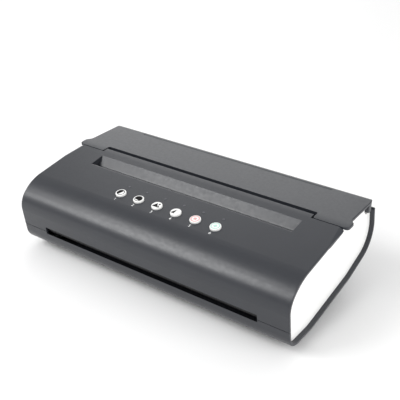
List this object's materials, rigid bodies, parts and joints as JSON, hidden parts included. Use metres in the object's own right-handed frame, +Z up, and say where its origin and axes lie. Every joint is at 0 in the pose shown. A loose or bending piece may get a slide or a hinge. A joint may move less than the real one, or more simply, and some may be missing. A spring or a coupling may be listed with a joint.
{
  "type": "thermal stencil copier",
  "caption": "Desktop copier with a rounded dark shell, pale end panels, a hinged rear lid, a document trough, round panel buttons, and rollers, gear trains and a sprung print head inside.",
  "frame": {"origin": "on the table under the middle of the case", "axes": "+X towards the right end, -Y towards the front with the paper slot, +Z up"},
  "size_m": [0.2962, 0.1487, 0.0817],
  "materials": {
    "graphite_shell": "fine satin texture",
    "white_panel": "satin",
    "black_plastic": "matte",
    "white_button": "satin",
    "gear_resin": "semi-matte",
    "rubber": "matte",
    "steel_sheet": "zinc plated",
    "steel_bar": "ground",
    "aluminium": "extruded",
    "ceramic": "glazed",
    "sensor_glass": "polished",
    "lens": "diffusing",
    "green_board": "lacquered",
    "bronze": "sintered"
  },
  "bodies": {
    "housing": {"bottom_tray": "graphite_shell", "top_cover": "graphite_shell", "left_end_panel": "white_panel", "right_end_panel": "white_panel", "front_left_foot": "rubber", "front_right_foot": "rubber", "rear_left_foot": "rubber", "rear_right_foot": "rubber", "left_side_frame": "steel_sheet", "right_side_frame": "steel_sheet", "stencil_deck": "black_plastic", "inlet_guide": "black_plastic", "paper_chute": "black_plastic", "image_sensor": "black_plastic", "sensor_glass": "sensor_glass", "main_board": "green_board", "power_board": "green_board", "control_board": "green_board", "tact_switches": "black_plastic", "indicator_lenses": "lens", "scan_motor": "steel_bar", "platen_motor": "steel_bar", "power_inlet": "black_plastic", "switch_frame": "black_plastic", "roller_bushes": "bronze", "gear_pins": "steel_bar", "hinge_pins": "steel_bar", "case_screws": "steel_sheet", "frame_screws": "steel_sheet"},
    "lid": {"lid": "graphite_shell", "head_bracket": "steel_sheet", "head_springs": "steel_sheet"},
    "print_head": {"print_head": "aluminium", "heater_board": "ceramic"},
    "platen": {"platen_roller": "rubber", "platen_shaft": "steel_bar", "platen_gear": "gear_resin"},
    "platen_compound": {"platen_compound_gear": "gear_resin"},
    "platen_pinion": {"platen_pinion": "gear_resin"},
    "scan_roller": {"scan_roller": "rubber", "scan_shaft": "steel_bar", "scan_gear": "gear_resin"},
    "exit_roller": {"exit_roller": "rubber", "exit_gear": "gear_resin"},
    "pinch_roller": {"pinch_roller": "rubber"},
    "transfer_gear": {"transfer_gear": "gear_resin"},
    "scan_compound": {"scan_compound_gear": "gear_resin"},
    "scan_pinion": {"scan_pinion": "gear_resin"},
    "rocker": {"rocker_switch": "black_plastic"},
    "document_lever": {"document_lever": "black_plastic"},
    "stencil_lever": {"stencil_lever": "black_plastic"},
    "button_1": {"button_1": "white_button"},
    "button_2": {"button_2": "white_button"},
    "button_3": {"button_3": "white_button"},
    "button_4": {"button_4": "white_button"},
    "button_5": {"button_5": "white_button"},
    "button_6": {"button_6": "white_button"}
  },
  "joints": [
    {"name": "lid_hinge", "type": "hinge", "parent": "housing", "child": "lid", "pos_m": [0, 0.06427, 0.07518], "axis": [-1, 0, 0], "range_deg": [0, 95]},
    {"name": "head_float", "type": "slide", "parent": "lid", "child": "print_head", "axis": [0, 0, 1], "range_m": [0, 0.0012], "stiffness_N_per_m": 1500, "springref_m": -0.003, "deforming": ["head_springs"]},
    {"name": "button_1_press", "type": "slide", "parent": "housing", "child": "button_1", "axis": [0, 0.1753, -0.9845], "range_m": [0, 0.0012], "stiffness_N_per_m": 400, "springref_m": -0.0008},
    {"name": "button_2_press", "type": "slide", "parent": "housing", "child": "button_2", "axis": [0, 0.1753, -0.9845], "range_m": [0, 0.0012], "stiffness_N_per_m": 400, "springref_m": -0.0008},
    {"name": "button_3_press", "type": "slide", "parent": "housing", "child": "button_3", "axis": [0, 0.1753, -0.9845], "range_m": [0, 0.0012], "stiffness_N_per_m": 400, "springref_m": -0.0008},
    {"name": "button_4_press", "type": "slide", "parent": "housing", "child": "button_4", "axis": [0, 0.1753, -0.9845], "range_m": [0, 0.0012], "stiffness_N_per_m": 400, "springref_m": -0.0008},
    {"name": "button_5_press", "type": "slide", "parent": "housing", "child": "button_5", "axis": [0, 0.1753, -0.9845], "range_m": [0, 0.0012], "stiffness_N_per_m": 400, "springref_m": -0.0008},
    {"name": "button_6_press", "type": "slide", "parent": "housing", "child": "button_6", "axis": [0, 0.1753, -0.9845], "range_m": [0, 0.0012], "stiffness_N_per_m": 400, "springref_m": -0.0008},
    {"name": "power_rocker", "type": "hinge", "parent": "housing", "child": "rocker", "pos_m": [-0.06, 0.06335, 0.047], "axis": [1, 0, 0], "range_deg": [-9, 9]},
    {"name": "platen_turn", "type": "hinge", "parent": "housing", "child": "platen", "pos_m": [0, 0.038, 0.058], "axis": [1, 0, 0], "continuous": true},
    {"name": "platen_compound_turn", "type": "hinge", "parent": "housing", "child": "platen_compound", "pos_m": [0, 0.02193, 0.05246], "axis": [1, 0, 0], "continuous": true},
    {"name": "platen_pinion_turn", "type": "hinge", "parent": "housing", "child": "platen_pinion", "pos_m": [0, 0.033, 0.0358], "axis": [1, 0, 0], "continuous": true},
    {"name": "scan_turn", "type": "hinge", "parent": "housing", "child": "scan_roller", "pos_m": [0, -0.0155, 0.05], "axis": [1, 0, 0], "continuous": true},
    {"name": "exit_turn", "type": "hinge", "parent": "housing", "child": "exit_roller", "pos_m": [0, -0.0536, 0.0396], "axis": [1, 0, 0], "continuous": true},
    {"name": "pinch_turn", "type": "hinge", "parent": "housing", "child": "pinch_roller", "pos_m": [0, -0.05067, 0.02817], "axis": [1, 0, 0], "continuous": true},
    {"name": "transfer_turn", "type": "hinge", "parent": "housing", "child": "transfer_gear", "pos_m": [0, -0.03636, 0.04759], "axis": [1, 0, 0], "continuous": true},
    {"name": "scan_compound_turn", "type": "hinge", "parent": "housing", "child": "scan_compound", "pos_m": [0, -0.02659, 0.03367], "axis": [1, 0, 0], "continuous": true},
    {"name": "scan_pinion_turn", "type": "hinge", "parent": "housing", "child": "scan_pinion", "pos_m": [0, -0.041, 0.0198], "axis": [1, 0, 0], "continuous": true},
    {"name": "document_lever_tip", "type": "hinge", "parent": "housing", "child": "document_lever", "pos_m": [0.03, 0.0014, 0.056], "axis": [1, 0, 0], "range_deg": [0, 25], "stiffness_Nm_per_rad": 0.002, "springref_deg": -17.19},
    {"name": "stencil_lever_tip", "type": "hinge", "parent": "housing", "child": "stencil_lever", "pos_m": [0.03, 0.0195, 0.0622], "axis": [-1, 0, 0], "range_deg": [0, 40], "stiffness_Nm_per_rad": 0.002, "springref_deg": -17.19}
  ],
  "couplings": [
    {"joint": "transfer_turn", "follows": "scan_turn", "ratio": -0.90909},
    {"joint": "exit_turn", "follows": "scan_turn", "ratio": 1.25},
    {"joint": "pinch_turn", "follows": "scan_turn", "ratio": -1.9444},
    {"joint": "scan_compound_turn", "follows": "scan_turn", "ratio": 1.6667},
    {"joint": "scan_pinion_turn", "follows": "scan_turn", "ratio": -3.8889},
    {"joint": "platen_compound_turn", "follows": "platen_turn", "ratio": -1.8333},
    {"joint": "platen_pinion_turn", "follows": "platen_turn", "ratio": 4.2778}
  ]
}
